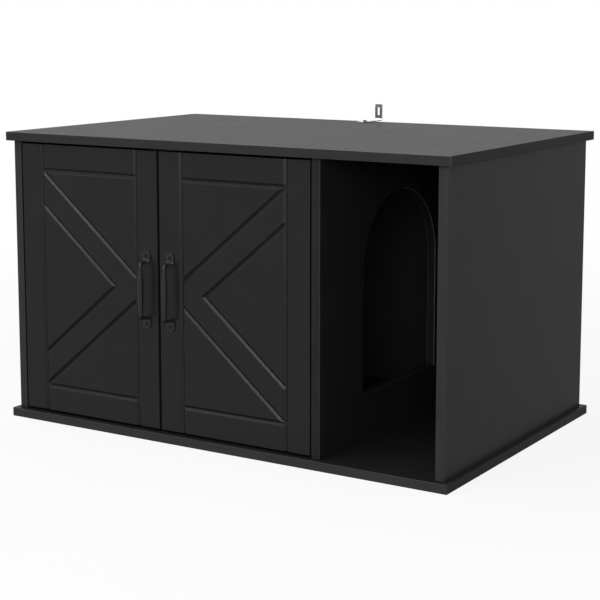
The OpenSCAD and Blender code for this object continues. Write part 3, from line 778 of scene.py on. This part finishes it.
@dataclass
class Carcass:
    """The six boards of the cabinet.

    Attributes:
        arris: Rounding of the boards' edges.
        doorway: Half the width of the arched doorway.
        doorway_y: Middle of the doorway.
        rim_edge: Length over which an edge on a board's face is part of the doorway's rim.
        sill: Height over the divider's low edge from which the doorway's rear jamb arris has a painted
            highlight.
        square: Share of a face's normal along an axis, from which the face is square to it.
        slant: Share of it along Y, over which an arris is at the front or rear.
    """

    arris: float = 0.9 * MM
    doorway: float = 125 * MM
    doorway_y: float = -4.5 * MM
    rim_edge: float = 3 * MM
    sill: float = 76 * MM
    square: float = 0.98
    slant: float = 0.2

    def build(self) -> None:
        """Makes all six boards."""
        self.board("top_panel", Axis.Z, (Palette.FLAT_FACE, Palette.TOP_EDGE, Palette.END_EDGE))
        self.board("base_panel", Axis.Z, (Palette.BASE_FACE, Palette.BASE_EDGE, Palette.END_EDGE))
        for side in Side:
            upright = (Palette.UPRIGHT_FACE, Palette.UPRIGHT_EDGE, Palette.UPRIGHT_EDGE)
            self.board(f"{side.value}_side_panel", Axis.X, upright)
        self.divider()
        self.back()

    def board(self, node: str, through: Axis, finishes: tuple[Finish, Finish, Finish]) -> None:
        """Makes one plain board with banded edges.

        Args:
            node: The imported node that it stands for.
            through: The axis of its thickness.
            finishes: Finish of its faces, of its front and rear edges, and of the others.
        """
        broad, front, end = finishes

        def finish_of(face: BMFace) -> Finish:
            """Picks a face's finish by the way it points, and with it the face's painted light and shade.

            Args:
                face: The face.

            Returns:
                The finish.
            """
            normal = face.normal
            if max(abs(part) for part in normal) < self.square:
                return Palette.ARRIS if abs(normal.y) > self.slant else end
            if abs(normal[through.value]) >= self.square:
                return broad
            return front if abs(normal.y) >= self.square else end

        bm = Workshop.copy_of(node)
        Workshop.ease(bm, self.arris, Workshop.on_box(*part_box(node)))
        once = list(dict.fromkeys((*finishes, Palette.ARRIS)))
        Workshop.finish(node + "_board", bm, once, Body.CABINET, node, finish_of)

    def divider(self) -> None:
        """Makes the divider, with the doorway's rim eased as well as the outline."""
        node = "divider_panel"
        low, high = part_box(node)
        outline = Workshop.on_box(low, high)

        def pick(edge: BMEdge) -> bool:
            """Tells the outline and the rim of the doorway from other edges.

            Args:
                edge: The edge.

            Returns:
                True if it is one of them.
            """
            ends = [v.co for v in edge.verts]
            on_face = all(min(abs(p.x - low.x), abs(p.x - high.x)) < Workshop.TOUCH for p in ends)
            inside = all(abs(p.y - self.doorway_y) < self.doorway + Workshop.TOUCH for p in ends)
            return outline(edge) or (on_face and inside and edge.calc_length() > self.rim_edge)

        def inner(face: BMFace) -> bool:
            """True for a face that keeps clear of the board's own outline."""
            spare = 2 * self.arris
            return all(low.z + self.arris < v.co.z < high.z - spare and v.co.y < high.y - spare
                       for v in face.verts)

        def finish_of(face: BMFace) -> Finish:
            """Picks the finish of a broad face, an edge or jamb, an arris, or the rear jamb's arris with
            its painted highlight.

            Args:
                face: The face.

            Returns:
                The finish.
            """
            middle = face.calc_center_median()
            if abs(face.normal.x) > self.square:
                return Palette.UPRIGHT_FACE
            if min(middle.x - low.x, high.x - middle.x) > self.arris:
                return Palette.DIVIDER_EDGE
            # The rear jamb's arris above the sill gets the painted highlight.
            highlit = middle.y > 0 and middle.z > low.z + self.sill and inner(face)
            return Palette.HIGHLIT_ARRIS if highlit else Palette.ARRIS

        bm = Workshop.copy_of(node)
        Workshop.ease(bm, self.arris, pick)
        finishes = (Palette.UPRIGHT_FACE, Palette.DIVIDER_EDGE, Palette.ARRIS, Palette.HIGHLIT_ARRIS)
        Workshop.finish("divider_board", bm, finishes, Body.CABINET, node, finish_of)

    def back(self) -> None:
        """Makes the back board, filmed on the inside and bare behind."""
        node = "back_panel"
        finishes = (Palette.BACK_FRONT, Palette.BACK_REAR)
        Workshop.finish("back_board", Workshop.copy_of(node), finishes, Body.CABINET, node,
                        lambda face: finishes[face.normal.y > self.square])


@dataclass
class Section:
    """One cross-section of a bar that changes shape along a bent line.

    Attributes:
        out: Distance out from the face that carries the bar.
        up: Height along that face.
        heading: Direction of the line, as an angle from straight up the face towards out.
        width: Width across.
        depth: Depth in the plane of the bend.
        square: 2 for an oval section, and more for a squarer one.
    """

    out: float
    up: float
    heading: float
    width: float
    depth: float
    square: float = 2.0


class Loft:
    """A closed skin over a row of cross-sections, drawn with X across, -Y out and Z up."""

    def __init__(self, points: int = 32) -> None:
        """Starts an empty skin with a number of points round each section."""
        self.points = points
        self.bm = bmesh.new()

    def ring(self, section: Section) -> list[BMEdge]:
        """Draws one section.

        Args:
            section: The section.

        Returns:
            Its edges.
        """
        verts = bmesh.ops.create_circle(self.bm, segments=self.points, radius=1.0)["verts"]
        forward = Vector((0, -math.sin(section.heading), math.cos(section.heading)))
        across = Vector((1, 0, 0))
        normal = forward.cross(across)
        power = 2 / section.square
        for vert in verts:
            a, b = vert.co.x, vert.co.y
            x = math.copysign(abs(a) ** power, a) * section.width / 2
            n = math.copysign(abs(b) ** power, b) * section.depth / 2
            vert.co = Vector((0, -section.out, section.up)) + across * x + normal * n
        return list({e for v in verts for e in v.link_edges})

    def skin(self, sections: Sequence[Section]) -> BMesh:
        """Skins the sections and closes both ends.

        Args:
            sections: The sections in order.

        Returns:
            The closed mesh.
        """
        rings = [self.ring(section) for section in sections]
        for first, second in zip(rings, rings[1:]):
            bmesh.ops.bridge_loops(self.bm, edges=first + second)
        for end in (rings[0], rings[-1]):
            bmesh.ops.edgeloop_fill(self.bm, edges=end)
        bmesh.ops.recalc_face_normals(self.bm, faces=self.bm.faces)
        return self.bm


@dataclass
class Screw:
    """A cross-head screw, drawn with its seat at z = 0 and its point below.

    Attributes:
        head: Radius of the head.
        height: Height of the head.
        dome: Fall of the head's top from its middle to its rim.
        shank: Radius of the shank.
        bite: Length below the seat.
        cross: Half the length of the cross recess.
        arm: Width of the recess, as a share of its length.
        sink: Depth of the recess, as a share of the head's height.
        rim: Height of the head's rim over the seat, as a share of the head's height at its edge.
        seat: Radius of the seat, as a share of the head's.
        tip: Radius of the blunt point, as a share of the shank's.
        near: Distance within which a vertex counts as lying on a cutting plane.
        points: Number of points round it.
    """

    head: float
    height: float
    dome: float
    shank: float
    bite: float
    cross: float
    arm: float = 0.24
    sink: float = 0.55
    rim: float = 0.25
    seat: float = 0.93
    tip: float = 0.15
    near: float = 1e-7
    points: int = 32

    def build(self) -> BMesh:
        """Makes the screw.

        Returns:
            The closed mesh.
        """
        bm = bmesh.new()
        bmesh.ops.create_circle(bm, cap_ends=True, segments=self.points, radius=self.head)
        slot = self.cross * self.arm
        for axis in (Vector((1, 0, 0)), Vector((0, 1, 0))):
            for reach in (-self.cross, -slot, slot, self.cross):
                bmesh.ops.bisect_plane(bm, geom=[*bm.verts, *bm.edges, *bm.faces], dist=self.near,
                                       plane_co=axis * reach, plane_no=axis)
        recess = [f for f in bm.faces if self.in_cross(f.calc_center_median(), slot)]
        self.drop(bm, recess, self.height * self.sink)
        for vert in bm.verts:
            vert.co.z += self.height - self.dome * (vert.co.xy.length / self.head) ** 2
        edges = [e for e in bm.edges if e.is_boundary]
        for radius, height in ((self.head, self.rim * (self.height - self.dome)),
                               (self.head * self.seat, 0.0), (self.shank, 0.0),
                               (self.shank, self.shank - self.bite), (self.shank * self.tip, -self.bite)):
            edges = self.step(bm, edges, radius, height)
        bmesh.ops.edgeloop_fill(bm, edges=edges)
        bmesh.ops.recalc_face_normals(bm, faces=bm.faces)
        return bm

    def in_cross(self, point: Vector, slot: float) -> bool:
        """True for a point inside the cross recess."""
        x, y = abs(point.x), abs(point.y)
        return (x < slot and y < self.cross) or (y < slot and x < self.cross)

    @staticmethod
    def drop(bm: BMesh, faces: list[BMFace], depth: float) -> None:
        """Sinks faces below the rest, with walls round them.

        Args:
            bm: The mesh.
            faces: The faces.
            depth: How far they sink.
        """
        made = bmesh.ops.extrude_face_region(bm, geom=faces)["geom"]
        bmesh.ops.translate(bm, verts=[v for v in made if isinstance(v, BMVert)], vec=(0, 0, -depth))
        left = [f for f in faces if f.is_valid]
        if left:
            bmesh.ops.delete(bm, geom=left, context="FACES_ONLY")
        bmesh.ops.delete(bm, geom=[e for e in bm.edges if e.is_wire], context="EDGES")

    @staticmethod
    def step(bm: BMesh, rim: list[BMEdge], radius: float, height: float) -> list[BMEdge]:
        """Carries an open rim on to a new radius and height.

        Args:
            bm: The mesh.
            rim: The edges of the open rim.
            radius: The new radius.
            height: The new height.

        Returns:
            The edges of the new rim.
        """
        made = bmesh.ops.extrude_edge_only(bm, edges=rim)["geom"]
        for vert in (v for v in made if isinstance(v, BMVert)):
            flat = vert.co.xy.normalized() * radius
            vert.co = (flat.x, flat.y, height)
        return [e for e in made if isinstance(e, BMEdge)]


@dataclass
class Handle:
    """A strap handle: flat tabs screwed to the door, bent out to a round grip that swells in its middle.

    Attributes:
        side: The door that it is on.
        x: Its middle, side to side.
        z: Its middle in height.
        face_y: The door's face.
        tab: Half the width of a tab.
        tab_t: Thickness of a tab.
        tip_square: Squareness of the tab's section in its round tip.
        tab_square: Squareness of it along the rest of the tab.
        grip_half: Height of the neck above the handle's middle.
        reach: Distance from the door's face to the middle of the grip.
        middle: Diameter of the grip at its middle.
        end: Diameter of the grip at its ends.
        bend: Radius of the bend at the tab.
        bent: Share of the neck that is in this bend. The rest of the neck runs straight out.
        shoulder: Radius of the bend at the grip.
        thicken: Power of the neck's growth in depth. More makes it grow later.
        droop: Fall of the neck's middle line, as a share of its growth in depth.
        rounding: Power with which the neck's section loses its corners. More makes it quicker.
        swell: Power of the grip's swelling. More makes the swelling shorter.
        screw_z: Height of the upper screw over the handle's middle.
        tip_steps: Number of steps round half of a tab's tip.
        neck_steps: Number of steps along the neck.
        bend_steps: Number of steps round the shoulder.
        grip_steps: Number of steps along half of the grip.
    """

    side: Side
    x: float
    z: float = 252 * MM
    face_y: float = -265 * MM
    tab: float = 7.75 * MM
    tab_t: float = 2.5 * MM
    tip_square: float = 7
    tab_square: float = 6
    grip_half: float = 46.5 * MM
    reach: float = 18 * MM
    middle: float = 10 * MM
    end: float = 6.5 * MM
    bend: float = 4.5 * MM
    bent: float = 0.42
    shoulder: float = 3.9 * MM
    thicken: float = 1.8
    droop: float = 0.35
    rounding: float = 8
    swell: float = 1.2
    screw_z: float = 57.25 * MM
    tip_steps: int = 9
    neck_steps: int = 16
    bend_steps: int = 7
    grip_steps: int = 14

    def build(self) -> None:
        """Makes the handle and its two screws."""
        upper = self.upper_half()
        lower = [replace(part, up=-part.up, heading=math.pi - part.heading) for part in upper[-2::-1]]
        bar = Loft().skin(upper + lower)
        bmesh.ops.translate(bar, verts=bar.verts, vec=(self.x, self.face_y, self.z))
        node = self.side.value + "_handle"
        Workshop.finish(node + "_bar", bar, [Palette.HANDLE], self.side.body, node)
        screws = []
        for sign in (-1, 1):
            screw = Screw(head=3.6 * MM, height=1.5 * MM, dome=0.9 * MM, shank=1.75 * MM, bite=13 * MM,
                          cross=2.3 * MM).build()
            place = Matrix.Translation((self.x, self.face_y - self.tab_t, self.z + sign * self.screw_z))
            bmesh.ops.transform(screw, verts=screw.verts, matrix=place @ Matrix.Rotation(QUARTER, 4, "X"))
            screws.append(screw)
        Workshop.finish(node + "_screw_pair", Workshop.joined(screws), [Palette.BLACK_SCREW],
                        self.side.body, node + "_screws")

    def upper_half(self) -> list[Section]:
        """Lays out the handle from the upper tab's tip to the middle of the grip.

        Returns:
            The sections in order.
        """
        down = math.pi
        middle = self.tab_t / 2
        rows = []
        for turn in turns(self.tip_steps):
            rows.append(Section(middle, self.screw_z + self.tab * math.cos(turn), down,
                                2 * self.tab * math.sin(turn), self.tab_t, self.tip_square))
        first_z = self.grip_half + self.bend
        rows.append(Section(middle, (self.screw_z + first_z) / 2, down, 2 * self.tab, self.tab_t,
                            self.tab_square))
        rows.append(self.neck(0.0))
        rows += [self.neck(share) for share in shares(self.neck_steps)]
        bend_z = rows[-1].up - self.shoulder
        for turn in turns(self.bend_steps):
            out = self.reach - self.shoulder * (1 - math.sin(turn))
            up = bend_z + self.shoulder * math.cos(turn)
            rows.append(Section(out, up, QUARTER + turn, self.end, self.end))
        for share in shares(self.grip_steps):
            wide = self.end + (self.middle - self.end) * math.cos(QUARTER * (1 - share)) ** self.swell
            rows.append(Section(self.reach, bend_z * (1 - share), down, wide, wide))
        return rows

    def neck(self, share: float) -> Section:
        """Lays out one section of the neck.

        Args:
            share: How far along the neck it is, from 0 at the tab to 1 at the shoulder.

        Returns:
            The section.
        """
        soft = share * share * (3 - 2 * share)
        turn = QUARTER * min(1.0, share / self.bent)
        middle = self.tab_t / 2
        straight = self.reach - self.shoulder - middle - self.bend
        out = self.bend * (1 - math.cos(turn)) + max(0.0, share - self.bent) / (1 - self.bent) * straight
        growth = (self.end - self.tab_t) * soft ** self.thicken
        up = self.grip_half + self.bend * (1 - math.sin(turn)) - growth * self.droop
        return Section(middle + out, up, math.pi - turn, 2 * self.tab + (self.end - 2 * self.tab) * soft,
                       self.tab_t + growth, 2 + (self.tab_square - 2) * (1 - soft) ** self.rounding)


@dataclass
class WallBracket:
    """The zinc-plated strip that ties the cabinet to a wall, with its black screw.

    Attributes:
        x: Its middle, side to side.
        front_y: Front end of its foot.
        rear_y: Rear face of its leg.
        seat_z: The cabinet's top.
        rise: Height of the leg over the top.
        width: Width of the strip.
        thick: Thickness of the strip.
        square: Squareness of its section.
        bend: Radius of the bend, to the middle of the strip.
        bend_steps: Number of steps round the bend.
        points: Number of points round its section.
        corner: Rounding of the corners at both ends.
        corner_turns: Where a corner has its sections, in degrees round it.
        sheared: Share of a face's normal along X, over which the face is a sheared side.
        slot: Low end, high end and width of the wall slot, over the top.
        slot_points: Number of points round the slot.
        punch: Depth of the shape that cuts the slot.
        clearance: How far behind the leg that shape starts.
        screw_y: Place of the screw.
    """

    x: float = -13.5 * MM
    front_y: float = 224.5 * MM
    rear_y: float = 300 * MM
    seat_z: float = 500 * MM
    rise: float = 31 * MM
    width: float = 15 * MM
    thick: float = 2 * MM
    square: float = 10
    bend: float = 4.0 * MM
    bend_steps: int = 7
    points: int = 28
    corner: float = 1.2 * MM
    corner_turns: tuple[float, ...] = (4, 20, 40, 60, 90)
    sheared: float = 0.7
    slot: Triple = (10 * MM, 25.5 * MM, 5.5 * MM)
    slot_points: int = 32
    punch: float = 8 * MM
    clearance: float = 3 * MM
    screw_y: float = 246.5 * MM

    def build(self) -> None:
        """Makes the strip and its screw."""
        strip = Workshop.carved(self.strip(), self.slot_cutter())
        # The strip's sides take the near-black finish, which is painted shade.
        finishes = (Palette.ZINC, Palette.SHEARED_SHADED)
        Workshop.finish("wall_bracket", strip, finishes, Body.CABINET, "anti_tip_bracket",
                        lambda face: finishes[abs(face.normal.x) > self.sheared])
        screw = Screw(head=4 * MM, height=2.2 * MM, dome=1.1 * MM, shank=2 * MM, bite=13 * MM,
                      cross=2.2 * MM).build()
        bmesh.ops.transform(screw, verts=screw.verts,
                            matrix=Matrix.Translation((self.x, self.screw_y, self.seat_z + self.thick)))
        Workshop.finish("wall_bracket_screw", screw, [Palette.BLACK_SCREW], Body.CABINET, "bracket_screw")

    def strip(self) -> BMesh:
        """Bends the strip, from the tip of its foot to the top of its leg.

        Returns:
            The strip without its slot.
        """
        middle = self.thick / 2
        ends = [(self.corner * (1 - math.cos(turn)), self.width - 2 * self.corner * (1 - math.sin(turn)))
                for turn in map(math.radians, self.corner_turns)]
        rows = [(-self.front_y - inset, middle, -QUARTER, wide) for inset, wide in ends]
        bend_y = self.rear_y - middle - self.bend
        for turn in (0.0, *turns(self.bend_steps)):
            rows.append((-bend_y - self.bend * math.sin(turn), middle + self.bend * (1 - math.cos(turn)),
                         turn - QUARTER, self.width))
        rows += [(middle - self.rear_y, self.rise - inset, 0.0, wide) for inset, wide in reversed(ends)]
        bm = Loft(self.points).skin([Section(*row, self.thick, self.square) for row in rows])
        bmesh.ops.translate(bm, verts=bm.verts, vec=(self.x, 0, self.seat_z))
        return bm

    def slot_cutter(self) -> BMesh:
        """Makes a bar with the wall slot's outline, through the leg.

        Returns:
            The bar.
        """
        low, high, width = self.slot
        bm = bmesh.new()
        bmesh.ops.create_circle(bm, cap_ends=True, segments=self.slot_points, radius=width / 2)
        for vert in bm.verts:
            vert.co.y += math.copysign((high - low - width) / 2, vert.co.y)
        body = bmesh.ops.extrude_face_region(bm, geom=list(bm.faces))["geom"]
        bmesh.ops.translate(bm, verts=[v for v in body if isinstance(v, BMVert)], vec=(0, 0, self.punch))
        place = Matrix.Translation((self.x, self.rear_y + self.clearance, self.seat_z + (low + high) / 2))
        bmesh.ops.transform(bm, verts=bm.verts, matrix=place @ Matrix.Rotation(QUARTER, 4, "X"))
        return bm


@dataclass
class Door:
    """One door: a moulded panel with V grooves, its handle and the fittings that ride on it.

    Attributes:
        side: Which door.
        handle_x: Middle of its handle.
        soften: Rounding of the face's edges and of the grooves' rims.
        face_depth: Depth behind the face in which edges are softened.
        face_edge: Length over which they are, which leaves the screw holes crisp.
        back_arris: Rounding of the rear edges.
    """

    side: Side
    handle_x: float
    soften: float = 0.7 * MM
    face_depth: float = 3.2 * MM
    face_edge: float = 1.2 * MM
    back_arris: float = 0.4 * MM

    def build(self) -> None:
        """Makes the panel and the handle, and dresses the fittings."""
        self.panel()
        Handle(self.side, self.handle_x).build()
        name = self.side.value
        for part in ("upper_hinge_cup", "lower_hinge_cup", "strike_plate"):
            Fittings.eased(f"{name}_{part}", Palette.NICKEL, self.side.body)
        for part in ("hinge_pins", "cup_screws", "strike_screw"):
            Workshop.dress(f"{name}_{part}", Palette.STEEL)

    def panel(self) -> None:
        """Makes the panel, with soft grooves and edges in front and crisp ones behind."""
        node = self.side.value + "_door_panel"
        low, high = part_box(node)
        outline = Workshop.on_box(low, high)

        def in_front(edge: BMEdge) -> bool:
            """True for the face's own edges, and not for those of the screw holes."""
            near = all(v.co.y < low.y + self.face_depth for v in edge.verts)
            return near and edge.calc_length() > self.face_edge

        def behind(edge: BMEdge) -> bool:
            """True for the edges round the rear."""
            return outline(edge) and all(v.co.y > high.y - Workshop.TOUCH for v in edge.verts)

        bm = Workshop.copy_of(node)
        Workshop.ease(bm, self.soften, in_front)
        Workshop.ease(bm, self.back_arris, behind, segments=2)
        Workshop.finish(self.side.value + "_door", bm, [Palette.DOOR], self.side.body, node)


@dataclass
class Fittings:
    """Hinges, catch, cams, dowels and screws of the cabinet.

    Attributes:
        arris: Rounding of a fitting's edges.
        long_edge: Length over which an edge is rounded.
        hinge_ends: Where each door has its hinges.
        steel: The small steel pieces.
    """

    arris: float = 0.25 * MM
    long_edge: float = 1.5 * MM
    hinge_ends: tuple[str, ...] = ("upper", "lower")
    steel: tuple[str, ...] = ("cam_bolts", "base_screws", "back_panel_screws", "hinge_plate_screws",
                              "hinge_arm_screws", "catch_screws")

    def build(self) -> None:
        """Dresses every fitting."""
        for side in Side:
            for end in self.hinge_ends:
                for part in ("arm", "plate"):
                    self.eased(f"{side.value}_{end}_hinge_{part}", Palette.NICKEL, Body.CABINET)
        self.eased("cam_locks", Palette.CAST, Body.CABINET)
        self.eased("magnetic_catch", Palette.PLASTIC, Body.CABINET)
        Workshop.dress("catch_magnets", Palette.MAGNET)
        Workshop.dress("wooden_dowels", Palette.BEECH)
        for node in self.steel:
            Workshop.dress(node, Palette.STEEL)

    @classmethod
    def eased(cls, node: str, finish: Finish, body: Body) -> None:
        """Makes a copy of a fitting with its longer edges eased.

        Args:
            node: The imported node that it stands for.
            finish: Its finish.
            body: The body that it moves with.
        """
        bm = Workshop.copy_of(node)
        Workshop.ease(bm, cls.arris, lambda edge: edge.calc_length() > cls.long_edge, segments=2)
        Workshop.finish(node + "_eased", bm, [finish], body, node)


@dataclass
class Lamp:
    """One soft lamp.

    Attributes:
        name: Its name.
        place: Where it stands.
        aim: What it points at.
        size: Width and height of its face.
        power: Power in watts.
    """

    name: str
    place: Triple
    aim: Triple
    size: Span
    power: float

    def build(self) -> None:
        """Hangs the lamp."""
        data = bpy.data.lights.new(self.name, "AREA")
        data.shape = "RECTANGLE"
        data.size, data.size_y = self.size
        data.energy = self.power
        lamp = bpy.data.objects.new(self.name, data)
        bpy.context.scene.collection.objects.link(lamp)
        lamp.location = self.place
        lamp.rotation_euler = (Vector(self.aim) - Vector(self.place)).to_track_quat("-Z", "Y").to_euler()


@dataclass
class Studio:
    """Floor, lamps, surroundings and camera.

    Attributes:
        eye: The camera's place.
        turn: Its turn about the vertical, in degrees.
        dip: Its dip below the horizontal, in degrees.
        lens: Its focal length in millimetres.
        film: Width of its frame in millimetres.
        shift: Its upright shift, as a share of the frame.
        lamps: The lamps.
        room: Level of the surroundings' light.
        mirror: Level of the surroundings in reflections, in front and behind.
        mirror_turn: How far a direction is to the rear where the first and the last of them hold.
        floor_size: Width of the floor.
        floor_drop: Gap between the floor and the object.
        paint: Darkest and palest level of the floor's paint.
        paint_grain: Grain of the paint.
        paint_rough: Roughness of the paint.
        paint_gloss: Level of its plain reflection.
        floor_mirror: Level of the floor in reflections, straight down and at a low angle.
        floor_slant: How low the angle is where the first and the last of them hold.
        bounce: Share of the floor's paleness in the light that it throws back up.
        shade: Share of the floor's own shading that the camera sees near the object.
        fade: Distance from the middle at which this share starts to fade, and at which it is gone.
    """

    eye: Triple = (1.3980, -2.2358, 0.7045)
    turn: float = 32.0454
    dip: float = 8.0408
    lens: float = 92.098
    film: float = 36.0
    shift: float = -0.12
    lamps: list[Lamp] = field(default_factory=lambda: [
        Lamp("left", (-2.4, -2.4, 1.2), (-0.1, -0.2, 0.25), (0.6, 0.8), 7),
        Lamp("brow_left", (-0.30, -2.30, 2.12), (-0.38, -0.26, 0.4), (0.35, 0.35), 7.2),
        Lamp("brow", (0.40, -2.33, 1.75), (0.0, -0.26, 0.2), (0.35, 0.35), 3.6),
        Lamp("brow_right", (0.70, -2.36, 1.52), (0.1, -0.26, 0.1), (0.35, 0.35), 4.4),
        Lamp("high_left", (-1.68, -1.89, 1.95), (-0.1, -0.27, 0.25), (0.5, 0.5), 2.5),
        Lamp("side_right", (3.2, 0.1, 1.0), (0.4, 0.0, 0.25), (1.2, 1.4), 9.8),
        Lamp("fill_front", (1.45, -2.5, 0.96), (0.1, -0.1, 0.25), (0.9, 0.9), 26),
        Lamp("overhead", (-0.9, -0.35, 3.0), (0.0, 0.0, 0.3), (3.0, 1.4), 51),
    ])
    room: float = 0.28
    mirror: Span = (0.5, 1.05)
    mirror_turn: Span = (-0.3, 0.5)
    floor_size: float = 30.0
    floor_drop: float = 0.2 * MM
    paint: Span = (0.74, 0.78)
    paint_grain: Grain = Grain(0.4)
    paint_rough: float = 0.9
    paint_gloss: float = 0.1
    floor_mirror: Span = (0.0, 0.68)
    floor_slant: Span = (0.1, 0.7)
    bounce: float = 0.3
    shade: float = 0.12
    fade: Span = (0.7, 2.2)

    def build(self) -> None:
        """Sets up the whole studio."""
        self.floor()
        self.surroundings()
        for lamp in self.lamps:
            lamp.build()
        self.camera()
        bpy.context.scene.view_settings.view_transform = "Standard"

    def floor(self) -> None:
        """Lays the pale floor, which shows white to the camera and keeps the object's shadow."""
        bm = bmesh.new()
        bmesh.ops.create_grid(bm, x_segments=1, y_segments=1, size=self.floor_size / 2)
        bmesh.ops.translate(bm, verts=bm.verts, vec=(0, 0, -self.floor_drop))
        plane = Workshop.placed("floor", bm)
        plane.data.materials.append(self.floor_material())

    def floor_material(self) -> Material:
        """Matt white paint, mixed with plain white for the camera, for gloss and through glass.

        Returns:
            The material.
        """
        shader = Shader("studio_floor")
        shader.feed("Roughness", self.paint_rough)
        shader.feed("Specular IOR Level", self.paint_gloss)
        path = shader.node("LightPath").outputs
        paint = shader.spread(shader.noise(self.paint_grain), *self.paint)
        thrown = shader.spread(path["Is Diffuse Ray"], 1.0, self.bounce, source=(0, 1))
        shader.feed("Base Color", shader.compute("MULTIPLY", paint, thrown))
        reach = shader.node("VectorMath")
        reach.operation = "LENGTH"
        shader.join(shader.place, reach.inputs[0])
        far = shader.spread(reach.outputs["Value"], 1 - self.shade, 1.0, self.fade)
        facing = shader.node("LayerWeight").outputs["Facing"]
        mirrored = shader.spread(facing, *self.floor_mirror, self.floor_slant)
        result = shader.surface.outputs[0]
        for ray, share, level in (("Is Transmission Ray", far, 1.0), ("Is Camera Ray", far, 1.0),
                                  ("Is Glossy Ray", 1.0, mirrored)):
            white = shader.lit("Emission", level)
            result = shader.mixed(shader.compute("MULTIPLY", path[ray], share), result, white)
        shader.join(result, shader.output)
        return shader.material

    def surroundings(self) -> None:
        """White to the camera, and a plain even light for the object."""
        world = bpy.data.worlds.new("studio")
        bpy.context.scene.world = world
        nodes = Nodes(world)
        path = nodes.node("LightPath").outputs
        parts = nodes.node("SeparateXYZ")
        nodes.join(nodes.node("TexCoord").outputs["Generated"], parts.inputs["Vector"])
        mirrored = nodes.spread(parts.outputs["Y"], *self.mirror, self.mirror_turn)
        result = nodes.mixed(path["Is Glossy Ray"], nodes.lit("Background", self.room),
                             nodes.lit("Background", mirrored))
        seen = nodes.compute("MAXIMUM", path["Is Camera Ray"], path["Is Transmission Ray"])
        result = nodes.mixed(seen, result, nodes.lit("Background", 1.0))
        nodes.join(result, nodes.node("OutputWorld").inputs["Surface"])

    def camera(self) -> None:
        """Sets the camera at the photograph's angle."""
        data = bpy.data.cameras.new("camera")
        data.lens, data.sensor_width, data.shift_y = self.lens, self.film, self.shift
        camera = bpy.data.objects.new("camera", data)
        bpy.context.scene.collection.objects.link(camera)
        camera.location = self.eye
        camera.rotation_euler = Euler((math.radians(90 - self.dip), 0, math.radians(self.turn)))
        bpy.context.scene.camera = camera


def main() -> None:
    """Builds the cat house and its studio in order."""
    logging.basicConfig(level=logging.INFO, format="%(name)s: %(message)s")
    Studio().build()
    Carcass().build()
    Door(Side.LEFT, handle_x=-131.75 * MM).build()
    Door(Side.RIGHT, handle_x=-83.25 * MM).build()
    Fittings().build()
    WallBracket().build()


if __name__ == "__main__":
    main()
